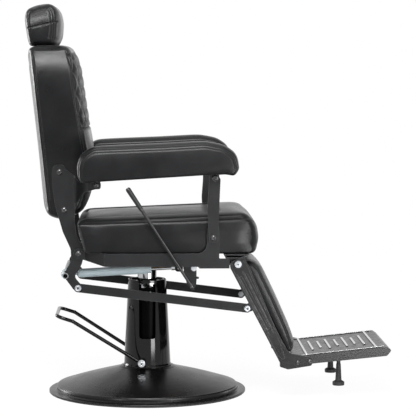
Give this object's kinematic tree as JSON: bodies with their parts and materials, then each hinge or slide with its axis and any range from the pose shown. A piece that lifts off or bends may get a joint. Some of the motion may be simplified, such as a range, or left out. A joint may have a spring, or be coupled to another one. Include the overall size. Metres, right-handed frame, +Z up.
{
  "type": "barber chair",
  "caption": "Hydraulic barber chair on a round base: reclining back linked to its armrests and leg rest, with pump pedal, headrest, recline lever and ribbed footplate.",
  "frame": {"origin": "centre of the round base on the floor", "axes": "+Z up, +X the way the sitter faces, +Y to the sitter's left"},
  "size_m": [1.0869, 0.6, 1.176],
  "materials": {
    "spun_black": "satin black over spun steel",
    "weight_steel": "bare, dark",
    "rubber": "matte",
    "zinc": "zinc plated",
    "gloss_black": "gloss black",
    "chrome": "polished",
    "steel_dark": "satin black powder coat",
    "black_bolt": "black oxide",
    "plywood": "bare plywood",
    "leather": "satin black leatherette over foam",
    "grip_plastic": "smooth",
    "tube_grey": "satin",
    "cylinder_blue": "pale blue grey paint",
    "bronze": "bronze bearing face",
    "cast_black": "black, ribs polished by wear"
  },
  "bodies": {
    "base": {"base_cover": "spun_black", "base_plate": "weight_steel", "floor_ring": "rubber", "base_bolts": "zinc", "pump_body": "gloss_black", "pump_gland": "chrome", "column_cover": "gloss_black", "cover_screws": "black_bolt"},
    "pedal": {"pedal_shaft": "zinc", "pump_pedal": "gloss_black", "pedal_nuts": "zinc"},
    "lifting_ram": {"ram": "chrome", "piston": "black_bolt", "thrust_washer": "bronze"},
    "seat_frame": {"swivel_hub": "steel_dark", "hub_bolts": "zinc", "crossbar_rear": "steel_dark", "crossbar_front": "steel_dark", "leg_crossbar": "steel_dark", "side_frame_right": "steel_dark", "side_frame_left": "steel_dark", "seat_board": "plywood", "seat_cushion": "leather", "lever_bracket": "steel_dark", "bracket_nut": "zinc", "frame_pivot_bolts": "black_bolt", "leg_pivot_bolts": "zinc"},
    "lever": {"recline_lever": "steel_dark", "lever_grip": "grip_plastic"},
    "rod": {"cylinder_rod": "chrome"},
    "cylinder": {"recline_cylinder": "cylinder_blue"},
    "back_frame": {"back_plate_right": "steel_dark", "back_plate_left": "steel_dark", "cross_tube": "tube_grey", "backrest_bolts": "black_bolt", "linkage_pins": "zinc", "backrest_board": "plywood", "backrest_cushion": "leather", "headrest_sleeves": "grip_plastic"},
    "headrest": {"headrest_posts": "chrome", "headrest_pad": "leather"},
    "armrest_right": {"armrest_pad_right": "leather", "armrest_rail_right": "steel_dark", "armrest_bolts_right": "black_bolt"},
    "armrest_left": {"armrest_pad_left": "leather", "armrest_rail_left": "steel_dark", "armrest_bolts_left": "black_bolt"},
    "post_right": {"armrest_post_right": "steel_dark"},
    "post_left": {"armrest_post_left": "steel_dark"},
    "bar_right": {"linkage_bar_right": "steel_dark"},
    "bar_left": {"linkage_bar_left": "steel_dark"},
    "leg_rest": {"leg_plate_right": "cast_black", "leg_plate_left": "cast_black", "linkage_end_pins": "zinc", "leg_board": "steel_dark", "leg_pad": "leather", "footplate": "cast_black", "footplate_bolts": "black_bolt"},
    "foot_right": {"screw_foot_right": "rubber"},
    "foot_left": {"screw_foot_left": "rubber"}
  },
  "joints": [
    {"name": "pedal_hinge", "type": "hinge", "parent": "base", "child": "pedal", "pos_m": [-0.018, 0, 0.097], "axis": [0, -1, 0], "range_deg": [0, 15], "stiffness_Nm_per_rad": 6, "springref_deg": -28.65},
    {"name": "seat_lift", "type": "slide", "parent": "base", "child": "lifting_ram", "axis": [0, 0, 1], "range_m": [0, 0.15]},
    {"name": "seat_swivel", "type": "hinge", "parent": "lifting_ram", "child": "seat_frame", "pos_m": [0, 0, 0], "axis": [0, 0, 1], "continuous": true},
    {"name": "recline", "type": "hinge", "parent": "seat_frame", "child": "back_frame", "pos_m": [-0.203, 0, 0.441], "axis": [0, -1, 0], "range_deg": [0, 32]},
    {"name": "leg_rest_hinge", "type": "hinge", "parent": "seat_frame", "child": "leg_rest", "pos_m": [0.268, 0, 0.408], "axis": [0, -1, 0], "range_deg": [0, 26.47]},
    {"name": "rod_hinge", "type": "hinge", "parent": "seat_frame", "child": "rod", "pos_m": [0.094, 0, 0.393], "axis": [0, -1, 0], "range_deg": [0, 2.98]},
    {"name": "cylinder_slide", "type": "slide", "parent": "rod", "child": "cylinder", "axis": [0.9986, 0, 0.0535], "range_m": [0, 0.0399]},
    {"name": "lever_hinge", "type": "hinge", "parent": "seat_frame", "child": "lever", "pos_m": [0.131, 0, 0.348], "axis": [0, -1, 0], "range_deg": [0, 12], "stiffness_Nm_per_rad": 4, "springref_deg": -22.92},
    {"name": "headrest_slide", "type": "slide", "parent": "back_frame", "child": "headrest", "axis": [0, 0, 1], "range_m": [0, 0.12]},
    {"name": "armrest_hinge_right", "type": "hinge", "parent": "back_frame", "child": "armrest_right", "pos_m": [-0.148, 0, 0.647], "axis": [0, -1, 0], "range_deg": [-37.99, 0]},
    {"name": "post_hinge_right", "type": "hinge", "parent": "seat_frame", "child": "post_right", "pos_m": [0.193, 0, 0.492], "axis": [0, -1, 0], "range_deg": [0, 40.34]},
    {"name": "bar_hinge_right", "type": "hinge", "parent": "back_frame", "child": "bar_right", "pos_m": [-0.205, 0, 0.338], "axis": [0, -1, 0], "range_deg": [-30.83, 0]},
    {"name": "foot_screw_right", "type": "slide", "parent": "leg_rest", "child": "foot_right", "axis": [0, 0, 1], "range_m": [0, 0.012]},
    {"name": "armrest_hinge_left", "type": "hinge", "parent": "back_frame", "child": "armrest_left", "pos_m": [-0.148, 0, 0.647], "axis": [0, -1, 0], "range_deg": [-37.99, 0]},
    {"name": "post_hinge_left", "type": "hinge", "parent": "seat_frame", "child": "post_left", "pos_m": [0.193, 0, 0.492], "axis": [0, -1, 0], "range_deg": [0, 40.34]},
    {"name": "bar_hinge_left", "type": "hinge", "parent": "back_frame", "child": "bar_left", "pos_m": [-0.205, 0, 0.338], "axis": [0, -1, 0], "range_deg": [-30.83, 0]},
    {"name": "foot_screw_left", "type": "slide", "parent": "leg_rest", "child": "foot_left", "axis": [0, 0, 1], "range_m": [0, 0.012]}
  ],
  "couplings": [
    {"joint": "leg_rest_hinge", "follows": "recline", "ratio": 0.8209},
    {"joint": "rod_hinge", "follows": "recline", "ratio": 0.08703},
    {"joint": "cylinder_slide", "follows": "recline", "m_per_rad": 0.07054},
    {"joint": "armrest_hinge_right", "follows": "recline", "ratio": -1.181},
    {"joint": "post_hinge_right", "follows": "recline", "ratio": 1.2545},
    {"joint": "bar_hinge_right", "follows": "recline", "ratio": -0.9572},
    {"joint": "armrest_hinge_left", "follows": "recline", "ratio": -1.181},
    {"joint": "post_hinge_left", "follows": "recline", "ratio": 1.2545},
    {"joint": "bar_hinge_left", "follows": "recline", "ratio": -0.9572}
  ]
}
